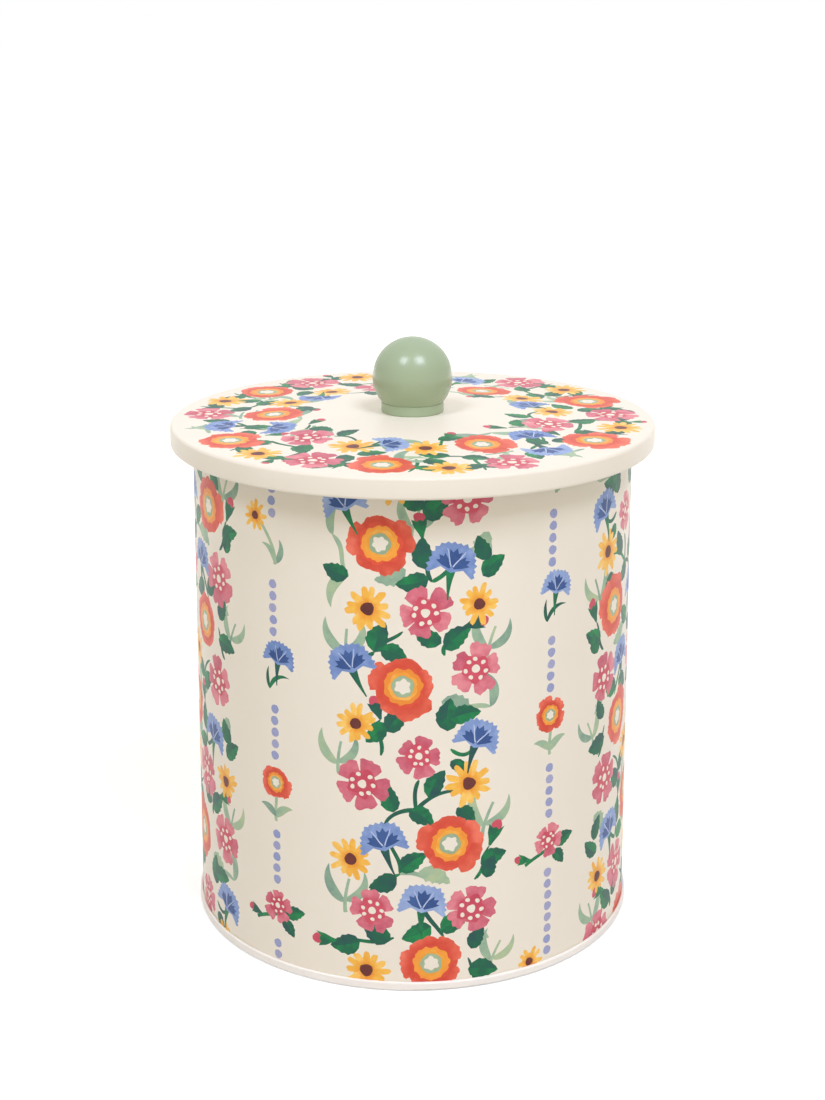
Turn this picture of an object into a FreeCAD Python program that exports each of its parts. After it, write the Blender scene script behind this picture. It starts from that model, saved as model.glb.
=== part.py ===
import FreeCAD, Part
import math
import os
import Sketcher

# A round biscuit tin with a lift-off lid and a ball knob.  Millimetres, +Z up, origin at the centre of
# the circle that the tin stands on.  Every piece is a body turned about the Z axis.

# ---------------------------------------------------------------- driving sizes
SIZES = [
    # the tinplate body
    ("body_diameter", 150.0),
    ("body_height", 171.1),
    ("sheet_thickness", 0.3),
    ("mouth_curl_radius", 1.25),
    ("side_seam_width", 5.0),
    ("side_seam_layers", 2.0),
    ("side_seam_top_margin", 20.0),
    ("side_seam_foot_margin", 2.0),
    # the double seam that joins the base to the wall
    ("seam_height", 2.9),
    ("seam_gap", 0.05),
    ("seam_corner_radius", 0.6),
    ("hook_tip_gap", 0.3),
    # the sunk base
    ("panel_height", 3.5),
    ("panel_bend_radius", 1.2),
    ("panel_margin", 13.5),
    ("panel_step_height", 0.8),
    # the lid
    ("lid_overhang", 7.6),
    ("lid_skirt_height", 7.2),
    ("lid_edge_radius", 1.2),
    ("lid_hem_radius", 1.0),
    ("hem_leg", 0.8),
    ("crown_margin", 6.3),
    ("crown_height", 2.25),
    ("lid_seat_gap", 0.3),
    # the ring under the lid that drops into the mouth, and the seal round it
    ("plug_gap", 2.1),
    ("plug_depth", 12.0),
    ("plug_flange_width", 5.5),
    ("plug_bend_radius", 0.8),
    ("plug_bead_radius", 0.7),
    ("plug_edge_radius", 0.8),
    ("seal_clearance", 0.3),
    ("seal_height", 4.0),
    ("seal_web", 0.8),
    ("seal_lip", 0.8),
    ("seal_tip_radius", 0.25),
    ("seal_fit", 0.02),
    # the ball knob
    ("knob_diameter", 27.3),
    ("foot_diameter", 21.4),
    ("foot_height", 3.4),
    ("foot_ledge", 0.18),
    ("foot_edge_radius", 0.4),
    ("knob_seat_margin", 1.8),
    # the screw that holds it, with its washer and threaded insert
    ("screw_diameter", 4.0),
    ("screw_length", 10.0),
    ("screw_tip_chamfer", 0.5),
    ("screw_hole_clearance", 0.2),
    ("thread_clearance", 0.03),
    ("head_diameter", 8.0),
    ("head_height", 2.6),
    ("head_edge_radius", 1.1),
    ("recess_span", 4.4),
    ("recess_width", 1.0),
    ("recess_depth", 1.6),
    ("washer_diameter", 12.0),
    ("washer_thickness", 1.0),
    ("insert_diameter", 6.2),
    ("insert_length", 9.0),
    ("insert_recess", 0.3),
    ("insert_fit", 0.02),
    ("insert_bore_run_out", 2.0),
]

doc = FreeCAD.newDocument("biscuit_tin")
sheet = doc.addObject("Spreadsheet::Sheet", "Sizes")
for row, (alias, value) in enumerate(SIZES, start=1):
    sheet.set(f"A{row}", alias)
    sheet.set(f"B{row}", str(value))
    sheet.setAlias(f"B{row}", alias)
doc.recompute()


def size(alias):
    """The expression that reads one cell of the sheet."""
    return f"Sizes.{alias}"


# ---------------------------------------------------------------- shared places, as expressions
sheet_mm = size("sheet_thickness")
wall_outside = f"({size('body_diameter')} / 2)"
wall_inside = f"({wall_outside} - {sheet_mm})"
layer = f"({sheet_mm} + {size('seam_gap')})"

lid_top = f"({size('body_height')} + {size('lid_seat_gap')} + 2 * {sheet_mm})"
lid_underside = f"({lid_top} - {sheet_mm})"
lid_outside = f"({wall_outside} + {size('lid_overhang')})"
knob_seat = f"({lid_top} + {size('crown_height')})"
foot_radius = f"({size('foot_diameter')} / 2)"
knob_seat_radius = f"({foot_radius} + {size('knob_seat_margin')})"
plug_outside = f"({wall_inside} - {size('plug_gap')})"
plug_inside = f"({plug_outside} - {sheet_mm})"
crown_radius = f"({plug_inside} - {size('crown_margin')})"
seal_top = f"({lid_underside} - {size('plug_bend_radius')})"
seal_foot = f"({seal_top} - {size('seal_height')})"
screw_radius = f"({size('screw_diameter')} / 2)"
screw_hole_radius = f"({screw_radius} + {size('screw_hole_clearance')})"
washer_top = f"({knob_seat} - {sheet_mm})"
washer_foot = f"({washer_top} - {size('washer_thickness')})"


# ---------------------------------------------------------------- helpers
def new_body(label):
    body = doc.addObject("PartDesign::Body", label)
    body.Label = label
    return body


def new_sketch(body, name, role):
    """A sketch on one of the body's own origin planes."""
    plane = next(f for f in body.Origin.OriginFeatures if f.Role == role)
    sketch = body.newObject("Sketcher::SketchObject", name)
    sketch.AttachmentSupport = [(plane, "")]
    sketch.MapMode = "FlatFace"
    return sketch


def arc_between(start, end, radius, turn):
    """The arc of less than half a turn from start to end; turn is 1 anticlockwise, -1 clockwise."""
    chord = end - start
    middle = (start + end) * 0.5
    reach = math.sqrt(max(radius ** 2 - (chord.Length / 2) ** 2, 0.0))
    side = FreeCAD.Vector(-chord.y, chord.x, 0).normalize() * reach * turn
    return arc_about(middle + side, start, end, radius, turn)


def arc_about(centre, start, end, radius, turn):
    first, last = (start, end) if turn > 0 else (end, start)
    first_angle = math.atan2(first.y - centre.y, first.x - centre.x)
    last_angle = math.atan2(last.y - centre.y, last.x - centre.x)
    circle = Part.Circle(centre, FreeCAD.Vector(0, 0, 1), radius)
    return Part.ArcOfCircle(circle, first_angle, last_angle)


def draw_outline(sketch, outline):
    """Draw a closed outline.  Each entry is (across, up) for a straight line to that corner, or
    (across, up, radius, turn) for an arc to it.  Every number is an expression of the sheet, and
    every corner and radius is a constraint bound to its expression."""
    corners = [FreeCAD.Vector(sketch.evalExpression(p[0]), sketch.evalExpression(p[1]), 0) for p in outline]
    ends = []
    for index, entry in enumerate(outline):
        start, end = corners[index - 1], corners[index]
        if len(entry) == 2:
            geometry = sketch.addGeometry(Part.LineSegment(start, end))
            ends.append((geometry, 1, 2))
            continue
        radius, turn = entry[2:]
        arc = arc_between(start, end, sketch.evalExpression(radius), turn)
        geometry = sketch.addGeometry(arc)
        ends.append((geometry, 1, 2) if turn > 0 else (geometry, 2, 1))
        bound_constraint(sketch, radius, "Radius", geometry)
    for index, entry in enumerate(outline):
        geometry, _, tail = ends[index]
        following, head, _ = ends[(index + 1) % len(ends)]
        sketch.addConstraint(Sketcher.Constraint("Coincident", geometry, tail, following, head))
        for kind, expression, axis in (("DistanceX", entry[0], -2), ("DistanceY", entry[1], -1)):
            if expression == "0":
                sketch.addConstraint(Sketcher.Constraint("PointOnObject", geometry, tail, axis))
            else:
                bound_constraint(sketch, expression, kind, -1, 1, geometry, tail)


def bound_constraint(sketch, expression, kind, *place):
    value = sketch.evalExpression(expression)
    index = sketch.addConstraint(Sketcher.Constraint(kind, *place, value))
    sketch.setExpression(f"Constraints[{index}]", expression)


def turned_body(label, outline):
    """A body made by turning a (radius, height) outline about the Z axis."""
    body = new_body(label)
    sketch = new_sketch(body, f"{label}_outline", "XZ_Plane")
    draw_outline(sketch, outline)
    turn = body.newObject("PartDesign::Revolution", f"{label}_turned")
    turn.Profile = sketch
    turn.ReferenceAxis = (sketch, ["V_Axis"])
    turn.Angle = 360
    sketch.Visibility = False
    return body


def inward_hem(outside, centre_height, hem_radius):
    """A sheet's lower edge rolled inwards: from its outer face round to its inner face."""
    inner_radius = f"({hem_radius} - {sheet_mm})"
    lowest = f"({centre_height} - {hem_radius})"
    leg_top = f"({centre_height} + {size('hem_leg')})"
    leg_inside = f"({outside} - 2 * {hem_radius})"
    leg_outside = f"({leg_inside} + {sheet_mm})"
    return [
        (outside, centre_height),
        (f"{outside} - {hem_radius}", lowest, hem_radius, -1),
        (leg_inside, centre_height, hem_radius, -1),
        (leg_inside, leg_top),
        (leg_outside, leg_top),
        (leg_outside, centre_height),
        (f"{outside} - {hem_radius}", f"{lowest} + {sheet_mm}", inner_radius, 1),
        (f"{outside} - {sheet_mm}", centre_height, inner_radius, 1),
    ]


# ---------------------------------------------------------------- the tin
def body_wall():
    """The wall: a cylinder with a curl outwards at the mouth and a hook into the double seam."""
    bend_radius = f"(({layer} * 2 + {sheet_mm}) / 2)"
    bend_inner = f"({bend_radius} - {sheet_mm})"
    bend_middle = f"({wall_inside} + {bend_radius})"
    bend_height = f"({layer} + {bend_radius})"
    hook_outside = f"({wall_inside} + 2 * {bend_radius})"
    hook_inside = f"({hook_outside} - {sheet_mm})"
    hook_tip = f"({size('seam_height')} - {sheet_mm} - {size('hook_tip_gap')})"
    curl = size("mouth_curl_radius")
    curl_inner = f"({curl} - {sheet_mm})"
    curl_middle = f"({wall_inside} + {curl})"
    curl_height = f"({size('body_height')} - {curl})"
    body = turned_body("body_wall", [
        (wall_inside, bend_height),
        (bend_middle, f"{bend_height} - {bend_radius}", bend_radius, 1),
        (hook_outside, bend_height, bend_radius, 1),
        (hook_outside, hook_tip),
        (hook_inside, hook_tip),
        (hook_inside, bend_height),
        (bend_middle, f"{bend_height} - {bend_inner}", bend_inner, -1),
        (wall_outside, bend_height, bend_inner, -1),
        (wall_outside, curl_height),
        (curl_middle, f"{curl_height} + {curl_inner}", curl_inner, -1),
        (f"{curl_middle} + {curl_inner}", curl_height, curl_inner, -1),
        (curl_middle, f"{curl_height} - {curl_inner}", curl_inner, -1),
        (curl_middle, f"{curl_height} - {curl}"),
        (f"{curl_middle} + {curl}", curl_height, curl, 1),
        (curl_middle, f"{curl_height} + {curl}", curl, 1),
        (wall_inside, curl_height, curl, 1),
    ])
    # The flattened lock seam up the back, on the inside of the wall.
    seam = new_sketch(body, "side_seam_outline", "XY_Plane")
    half_width = f"({size('side_seam_width')} / 2)"
    seam_back = f"({wall_inside} + {sheet_mm} / 3)"
    seam_front = f"({wall_inside} - {size('side_seam_layers')} * {sheet_mm})"
    draw_outline(seam, [
        (f"-{half_width}", seam_back),
        (f"-{half_width}", seam_front),
        (half_width, seam_front),
        (half_width, seam_back),
    ])
    seam_start = f"({size('panel_height')} + {size('side_seam_foot_margin')})"
    seam_end = f"({size('body_height')} - {size('side_seam_top_margin')})"
    seam.setExpression("AttachmentOffset.Base.z", seam_start)
    strip = body.newObject("PartDesign::Pad", "side_seam")
    strip.Profile = seam
    strip.setExpression("Length", f"{seam_end} - {seam_start}")
    seam.Visibility = False
    return body


def base_panel():
    """The sunk base, whose edge wraps round the wall's hook as the double seam."""
    gap = size("seam_gap")
    corner = size("seam_corner_radius")
    corner_inner = f"({corner} - {sheet_mm})"
    height = size("seam_height")
    chuck_outside = f"({wall_inside} - {gap})"
    chuck_inside = f"({chuck_outside} - {sheet_mm})"
    hook_inside = f"({wall_outside} + {gap})"
    hook_outside = f"({hook_inside} + {sheet_mm})"
    rim_inside = f"({hook_outside} + {layer} + {gap})"
    rim_outside = f"({rim_inside} + {sheet_mm})"
    fold_radius = f"(({rim_outside} - {hook_inside}) / 2)"
    fold_inner = f"({fold_radius} - {sheet_mm})"
    fold_middle = f"({hook_inside} + {fold_radius})"
    fold_height = f"({height} - {fold_radius})"
    hook_tip = f"({layer} + {sheet_mm} + {size('hook_tip_gap')})"
    bend = size("panel_bend_radius")
    bend_inner = f"({bend} - {sheet_mm})"
    top = size("panel_height")
    step_radius = f"({chuck_outside} - {size('panel_margin')})"
    step = size("panel_step_height")
    return turned_body("base_panel", [
        ("0", f"{top} + {step}"),
        (step_radius, f"{top} + {step}"),
        (f"{step_radius} + {step}", top),
        (f"{chuck_outside} - {bend}", top),
        (chuck_outside, f"{top} - {bend}", bend, -1),
        (chuck_outside, corner),
        (f"{chuck_outside} + {corner_inner}", sheet_mm, corner_inner, 1),
        (f"{rim_inside} - {corner_inner}", sheet_mm),
        (rim_inside, corner, corner_inner, 1),
        (rim_inside, fold_height),
        (fold_middle, f"{fold_height} + {fold_inner}", fold_inner, 1),
        (hook_outside, fold_height, fold_inner, 1),
        (hook_outside, hook_tip),
        (hook_inside, hook_tip),
        (hook_inside, fold_height),
        (fold_middle, f"{fold_height} + {fold_radius}", fold_radius, -1),
        (rim_outside, fold_height, fold_radius, -1),
        (rim_outside, corner),
        (f"{rim_outside} - {corner}", "0", corner, -1),
        (f"{chuck_inside} + {corner}", "0"),
        (chuck_inside, corner, corner, -1),
        (chuck_inside, f"{top} - {bend}"),
        (f"{chuck_outside} - {bend}", f"{top} - {sheet_mm}", bend_inner, 1),
        (f"{step_radius} + {step} - {sheet_mm} / 2", f"{top} - {sheet_mm}"),
        (f"{step_radius} - {sheet_mm} / 2", f"{top} + {step} - {sheet_mm}"),
        ("0", f"{top} + {step} - {sheet_mm}"),
    ])


# ---------------------------------------------------------------- the lid
def crown_arcs(low_height, high_height):
    """The lid's gentle rise from its flat margin to the flat seat of the knob, going inwards."""
    half_run = f"(({crown_radius} - {knob_seat_radius}) / 2)"
    half_rise = f"({size('crown_height')} / 2)"
    radius = f"(({half_run}^2 + {half_rise}^2) / (2 * {half_rise}))"
    return [
        (crown_radius, low_height),
        (f"{knob_seat_radius} + {half_run}", f"{low_height} + {half_rise}", radius, -1),
        (knob_seat_radius, high_height, radius, 1),
    ]


def lid_shell():
    """The lid's outer pressing: a crowned top, a short skirt and an inward hem."""
    edge = size("lid_edge_radius")
    edge_inner = f"({edge} - {sheet_mm})"
    hem = size("lid_hem_radius")
    hem_centre = f"({lid_top} - {size('lid_skirt_height')} + {hem})"
    outside_down = [
        (f"{lid_outside} - {edge}", lid_top),
        (lid_outside, f"{lid_top} - {edge}", edge, -1),
    ] + inward_hem(lid_outside, hem_centre, hem)
    inside_up = [
        (f"{lid_outside} - {sheet_mm}", f"{lid_top} - {edge}"),
        (f"{lid_outside} - {edge}", lid_underside, edge_inner, 1),
    ]
    under_crown = crown_arcs(lid_underside, f"{knob_seat} - {sheet_mm}")
    over_crown = crown_outwards()
    hole = [
        (screw_hole_radius, f"{knob_seat} - {sheet_mm}"),
        (screw_hole_radius, knob_seat),
    ]
    return turned_body("lid_shell", outside_down + inside_up + under_crown + hole + over_crown)


def crown_outwards():
    """The same rise on the lid's upper face, going outwards."""
    (rim, low), (middle, middle_height, radius, _), (seat, high, _, _) = crown_arcs(lid_top, knob_seat)
    return [
        (seat, high),
        (middle, middle_height, radius, -1),
        (rim, low, radius, 1),
    ]


def lid_plug():
    """The ring under the lid that drops into the mouth: flange, bead under the seal, inward hem."""
    bend = size("plug_bend_radius")
    bend_inner = f"({bend} - {sheet_mm})"
    bead = size("plug_bead_radius")
    bead_inner = f"({bead} - {sheet_mm})"
    bead_top = f"({seal_foot} - {size('seal_fit')})"
    bead_middle = f"({bead_top} - {bead})"
    bead_foot = f"({bead_top} - 2 * {bead})"
    edge = size("plug_edge_radius")
    hem_centre = f"({lid_underside} - {sheet_mm} - {size('plug_depth')} + {edge})"
    flange_edge = f"({plug_outside} + {size('plug_flange_width')})"
    outside_down = [
        (flange_edge, lid_underside),
        (flange_edge, f"{lid_underside} - {sheet_mm}"),
        (f"{plug_inside} + {bend}", f"{lid_underside} - {sheet_mm}"),
        (plug_outside, f"{lid_underside} - {bend}", bend_inner, 1),
        (plug_outside, bead_top),
        (f"{plug_outside} + {bead}", bead_middle, bead, -1),
        (plug_outside, bead_foot, bead, -1),
    ] + inward_hem(plug_outside, hem_centre, edge)
    inside_up = [
        (plug_inside, f"{bead_foot} + {sheet_mm}"),
        (plug_outside, f"{bead_foot} + {sheet_mm}"),
        (f"{plug_outside} + {bead_inner}", bead_middle, bead_inner, 1),
        (plug_outside, f"{bead_top} - {sheet_mm}", bead_inner, 1),
        (plug_inside, f"{bead_top} - {sheet_mm}"),
        (plug_inside, f"{lid_underside} - {bend}"),
        (f"{plug_inside} + {bend}", lid_underside, bend, -1),
    ]
    return turned_body("lid_plug", outside_down + inside_up)


def lid_seal():
    """The soft ring round the plug, with two lips towards the mouth."""
    inside = f"({plug_outside} + {size('seal_fit')})"
    web = f"({plug_outside} + {size('seal_web')})"
    reach = f"({wall_inside} - {size('seal_clearance')})"
    tip = size("seal_tip_radius")
    lip = size("seal_lip")

    def lip_outline(top, foot):
        return [
            (f"{reach} - {tip}", top),
            (reach, f"{top} - {tip}", tip, -1),
            (reach, f"{foot} + {tip}"),
            (f"{reach} - {tip}", foot, tip, -1),
        ]

    upper = lip_outline(seal_top, f"({seal_top} - {lip})")
    lower = lip_outline(f"({seal_foot} + {lip})", seal_foot)
    between = [(web, f"{seal_top} - {lip}"), (web, f"{seal_foot} + {lip}")]
    back = [(inside, seal_foot), (inside, seal_top)]
    return turned_body("lid_seal", upper + between + lower + back)


# ---------------------------------------------------------------- the knob and what holds it
def knob():
    """A ball sunk into a short round foot, bored from below for the insert."""
    ball_radius = f"({size('knob_diameter')} / 2)"
    ledge = size("foot_ledge")
    neck_radius = f"({foot_radius} - {ledge})"
    foot_top = f"({knob_seat} + {size('foot_height')})"
    ball_top = f"({foot_top} + sqrt({ball_radius}^2 - {neck_radius}^2) + {ball_radius})"
    edge = size("foot_edge_radius")
    bore_radius = f"({size('insert_diameter')} / 2 + {size('insert_fit')})"
    bore_depth = f"({size('insert_recess')} + {size('insert_length')} + {size('insert_bore_run_out')})"
    return turned_body("knob", [
        (f"{foot_radius} - {edge}", knob_seat),
        (foot_radius, f"{knob_seat} + {edge}", edge, 1),
        (foot_radius, f"{foot_top} - {ledge}"),
        (neck_radius, foot_top, ledge, 1),
        ("0", ball_top, ball_radius, 1),
        ("0", f"{knob_seat} + {bore_depth}"),
        (bore_radius, f"{knob_seat} + {bore_depth}"),
        (bore_radius, knob_seat),
    ])


def knob_insert():
    """The threaded sleeve pressed into the knob's bore."""
    outside = f"({size('insert_diameter')} / 2)"
    inside = f"({screw_radius} + {size('thread_clearance')})"
    low = f"({knob_seat} + {size('insert_recess')})"
    high = f"({low} + {size('insert_length')})"
    return turned_body("knob_insert", [(outside, low), (outside, high), (inside, high), (inside, low)])


def knob_washer():
    """The washer between the lid and the screw's head."""
    outside = f"({size('washer_diameter')} / 2)"
    corners = [
        (outside, washer_foot),
        (outside, washer_top),
        (screw_hole_radius, washer_top),
        (screw_hole_radius, washer_foot),
    ]
    return turned_body("knob_washer", corners)


def knob_screw():
    """A pan-head screw, head down, with a cross recess."""
    head_radius = f"({size('head_diameter')} / 2)"
    edge = size("head_edge_radius")
    head_foot = f"({washer_foot} - {size('head_height')})"
    tip = f"({washer_foot} + {size('screw_length')})"
    chamfer = size("screw_tip_chamfer")
    body = turned_body("knob_screw", [
        ("0", head_foot),
        (f"{head_radius} - {edge}", head_foot),
        (head_radius, f"{head_foot} + {edge}", edge, 1),
        (head_radius, washer_foot),
        (screw_radius, washer_foot),
        (screw_radius, f"{tip} - {chamfer}"),
        (f"{screw_radius} - {chamfer}", tip),
        ("0", tip),
    ])
    recess = new_sketch(body, "cross_recess_outline", "XY_Plane")
    long_half = f"({size('recess_span')} / 2)"
    short_half = f"({size('recess_width')} / 2)"
    draw_outline(recess, [
        (long_half, short_half),
        (short_half, short_half),
        (short_half, long_half),
        (f"-{short_half}", long_half),
        (f"-{short_half}", short_half),
        (f"-{long_half}", short_half),
        (f"-{long_half}", f"-{short_half}"),
        (f"-{short_half}", f"-{short_half}"),
        (f"-{short_half}", f"-{long_half}"),
        (short_half, f"-{long_half}"),
        (short_half, f"-{short_half}"),
        (long_half, f"-{short_half}"),
    ])
    recess.setExpression("AttachmentOffset.Base.z", head_foot)
    cut = body.newObject("PartDesign::Pocket", "cross_recess")
    cut.Profile = recess
    cut.Reversed = True
    cut.setExpression("Length", size("recess_depth"))
    recess.Visibility = False
    return body


# ---------------------------------------------------------------- build, check and write
bodies = [
    body_wall(),
    base_panel(),
    lid_shell(),
    lid_plug(),
    lid_seal(),
    knob(),
    knob_insert(),
    knob_washer(),
    knob_screw(),
]
doc.recompute()

for item in doc.Objects:
    if "Invalid" in item.State or "Error" in item.State:
        raise RuntimeError(f"{item.Label} failed: {item.State}")
for body in bodies:
    if body.Shape.isNull() or not body.Shape.isValid() or len(body.Shape.Solids) != 1:
        raise RuntimeError(f"{body.Label} is not one valid solid")

os.makedirs("parts", exist_ok=True)
for body in bodies:
    body.Shape.exportStep(f"parts/{body.Label}.step")
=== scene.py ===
import random
from bisect import bisect_left
from collections import namedtuple
from math import atan2, copysign, cos, degrees, dist, hypot, pi, radians, sin, sqrt

import bpy
from mathutils import Color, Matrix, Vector
from mathutils.geometry import delaunay_2d_cdt


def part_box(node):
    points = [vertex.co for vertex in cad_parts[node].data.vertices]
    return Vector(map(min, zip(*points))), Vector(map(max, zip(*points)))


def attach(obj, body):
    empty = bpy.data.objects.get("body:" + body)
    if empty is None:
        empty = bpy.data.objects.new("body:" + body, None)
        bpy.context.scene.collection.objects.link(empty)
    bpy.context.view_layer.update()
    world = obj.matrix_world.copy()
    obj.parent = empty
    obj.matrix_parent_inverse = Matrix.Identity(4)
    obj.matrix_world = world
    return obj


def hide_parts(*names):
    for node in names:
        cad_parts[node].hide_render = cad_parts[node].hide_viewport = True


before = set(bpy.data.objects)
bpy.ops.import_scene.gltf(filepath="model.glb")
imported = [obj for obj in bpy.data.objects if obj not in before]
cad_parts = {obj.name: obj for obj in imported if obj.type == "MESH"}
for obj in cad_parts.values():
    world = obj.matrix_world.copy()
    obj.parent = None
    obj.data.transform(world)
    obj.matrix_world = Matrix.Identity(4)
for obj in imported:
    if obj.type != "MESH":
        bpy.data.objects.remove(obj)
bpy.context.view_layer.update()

# Metres in Blender, millimetres for everything that is drawn or turned below.
MM = 0.001
FULL_TURN = 2 * pi


def show(name, data):
    """A new object in the scene."""
    made = bpy.data.objects.new(name, data)
    bpy.context.scene.collection.objects.link(made)
    return made


# ---- camera
def add_camera():
    """A portrait lens that looks a little down at the tin from just above its lid."""
    tilt = radians(11.756)
    distance = 632.1 * MM
    aim = Vector((0, 0, 183.2 * MM))
    data = bpy.data.cameras.new("camera")
    data.sensor_width = 36.0
    data.lens = 60.57
    data.shift_y = -0.15
    data.clip_start = 0.01
    data.clip_end = 100
    camera = show("camera", data)
    camera.location = aim + Vector((0, -cos(tilt), sin(tilt))) * distance
    camera.rotation_euler = (pi / 2 - tilt, 0, 0)
    bpy.context.scene.camera = camera


add_camera()

# ---- colours and finishes
# Screen colours (0-255) are what the paint looks like under this light; the gain turns them into
# what it reflects.
GAIN = 1.05
ENAMEL = {"Roughness": 0.38, "Specular_IOR_Level": 0.25}

# Each paint's tones from dark to light.
PAINTS = {
    "coral": [(204, 80, 58), (226, 102, 78), (238, 122, 98)],
    "poppy_shade": [(204, 72, 52), (224, 88, 62)],
    "orange": [(230, 136, 52), (243, 162, 64)],
    "ring_sage": [(140, 166, 136), (164, 186, 152)],
    "pink": [(190, 88, 108), (210, 112, 128), (226, 140, 148)],
    "raspberry": [(190, 70, 90), (208, 86, 102)],
    "yellow": [(236, 170, 60), (242, 187, 80), (248, 205, 112)],
    "brown": [(82, 38, 34), (114, 56, 50)],
    "periwinkle": [(106, 134, 188), (132, 156, 204), (160, 180, 216)],
    "vein": [(178, 192, 222), (196, 206, 228)],
    "cobalt": [(46, 74, 128), (64, 94, 150)],
    "leaf": [(38, 76, 78), (28, 98, 70), (28, 136, 74)],
    "sage": [(120, 152, 136), (152, 180, 152), (178, 194, 152)],
    "lilac": [(140, 152, 196), (154, 159, 197), (168, 167, 198)],
}
# Another colour in the motif's middle: (its full reach, where it ends, colour).
GLOWS = {
    "coral": (0.5, 0.95, (210, 72, 54)),
    "pink": (0.28, 0.7, (198, 74, 94)),
    "yellow": (0.2, 0.6, (234, 150, 50)),
}
CREAM = (234, 227, 212)
PLAIN = {
    "cream": ("cream", CREAM, ENAMEL),
    "ground": ("ground_print", CREAM, ENAMEL),
    "tinplate": ("tinplate", (222, 220, 214), {"Roughness": 0.38, "Metallic": 0.85}),
    "rim": ("rim_enamel", (240, 236, 229), ENAMEL),
    "knob": ("knob_paint", (156, 174, 142), {"Roughness": 0.25}),
    "seal": ("seal_rubber", (236, 236, 232), {"Roughness": 0.45}),
    "brass": ("brass", (202, 164, 92), {"Roughness": 0.3, "Metallic": 1.0}),
    "steel": ("steel", (188, 188, 190), {"Roughness": 0.3, "Metallic": 1.0}),
}


def linear(colour):
    """A screen colour as linear light."""
    screen = Color([value / 255 for value in colour])
    return (*(screen.from_srgb_to_scene_linear() * GAIN), 1.0)


def set_values(made, values):
    """Fill in settings and inputs by name, with _ for each space in an input's name."""
    for key, value in values.items():
        if hasattr(made, key):
            setattr(made, key, value)
        else:
            made.inputs[key.replace("_", " ")].default_value = value


def new_material(name, **finish):
    material = bpy.data.materials.new(name)
    material.use_nodes = True
    tree = material.node_tree
    shader = tree.nodes["Principled BSDF"]
    set_values(shader, finish)
    return material, tree, shader


def node(tree, kind, **values):
    made = tree.nodes.new("ShaderNode" + kind)
    set_values(made, values)
    return made


def feed(tree, socket, source):
    """Link an output to a socket, or set the socket to a value."""
    if isinstance(source, bpy.types.NodeSocket):
        tree.links.new(source, socket)
    else:
        socket.default_value = source


def maths(tree, kind, operation, *sources, **settings):
    """The result of a Math or VectorMath node fed with outputs or values."""
    made = node(tree, kind, operation=operation, **settings)
    for socket, source in zip(made.inputs, sources):
        feed(tree, socket, source)
    return made.outputs["Value" if kind == "Math" or operation == "LENGTH" else "Vector"]


def faded(tree, source, near, far, at_near, at_far):
    """A smooth step from one value to another."""
    made = node(
        tree, "MapRange", interpolation_type="SMOOTHSTEP",
        From_Min=near, From_Max=far, To_Min=at_near, To_Max=at_far,
    )
    feed(tree, made.inputs["Value"], source)
    return made.outputs["Result"]


def ramp(tree, source, stops):
    """A colour ramp over (position, screen colour) stops, fed by a value."""
    made = node(tree, "ValToRGB")
    elements = made.color_ramp.elements
    while len(elements) < len(stops):
        elements.new(0.5)
    for element, (position, colour) in zip(elements, stops):
        element.position = position
        element.color = linear(colour)
    feed(tree, made.inputs["Fac"], source)
    return made.outputs["Color"]


def brush_marks(tree, motif):
    """Soft mottling across a motif, with a different pattern for each tone."""
    tones_apart = 40.0
    lifted = maths(tree, "VectorMath", "MULTIPLY", motif, (1.0, 1.0, tones_apart))
    noise = node(tree, "TexNoise", Scale=2.3, Detail=3.0, Roughness=0.6)
    feed(tree, noise.inputs["Vector"], lifted)
    return noise.outputs["Fac"]


def glow_share(tree, motif, marks, near, far):
    """1 in the motif's middle and 0 outside, with a ragged edge."""
    ragged = 0.35
    flat = maths(tree, "VectorMath", "MULTIPLY", motif, (1.0, 1.0, 0.0))
    reach = maths(tree, "VectorMath", "LENGTH", flat)
    wobble = maths(tree, "Math", "MULTIPLY_ADD", marks, ragged, reach)
    return faded(tree, wobble, near + ragged / 2, far + ragged / 2, 1.0, 0.0)


def paint_material(name, tones):
    """Flat gouache under clear enamel: each shape has its own tone, with soft brush mottling."""
    tone_share, marks_share, marks_offset = 0.66, 1.5, -0.58
    material, tree, shader = new_material(name, **ENAMEL)
    motif = node(tree, "Attribute", attribute_name="petal").outputs["Vector"]
    marks = brush_marks(tree, motif)
    split = node(tree, "SeparateXYZ")
    feed(tree, split.inputs[0], motif)
    spread = maths(tree, "Math", "MULTIPLY_ADD", marks, marks_share, marks_offset)
    tone = maths(tree, "Math", "MULTIPLY_ADD", split.outputs["Z"], tone_share, spread, use_clamp=True)
    last = len(tones) - 1
    colour = ramp(tree, tone, [(k / last, screen) for k, screen in enumerate(tones)])
    if name in GLOWS:
        near, far, glow_colour = GLOWS[name]
        mix = node(tree, "Mix", data_type="RGBA")
        feed(tree, mix.inputs["Factor"], glow_share(tree, motif, marks, near, far))
        feed(tree, mix.inputs["A"], colour)
        feed(tree, mix.inputs["B"], linear(glow_colour))
        colour = mix.outputs["Result"]
    feed(tree, shader.inputs["Base Color"], colour)
    return material


def plain_material(name, colour, finish):
    """A plain finish with a faint cloudiness of its own."""
    material, tree, shader = new_material(name, **finish)
    cloud = node(tree, "TexNoise", Scale=60.0, Detail=3.0)
    feed(tree, cloud.inputs["Vector"], node(tree, "TexCoord").outputs["Object"])
    darker = [c * 0.995 for c in colour]
    tint = ramp(tree, cloud.outputs["Fac"], [(0.35, darker), (0.65, colour)])
    feed(tree, shader.inputs["Base Color"], tint)
    return material


MATERIALS = {name: paint_material(name, tones) for name, tones in PAINTS.items()}
MATERIALS.update({key: plain_material(*finish) for key, finish in PLAIN.items()})
SLOT_ORDER = ["cream", "tinplate", "ground"] + list(PAINTS)


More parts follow.
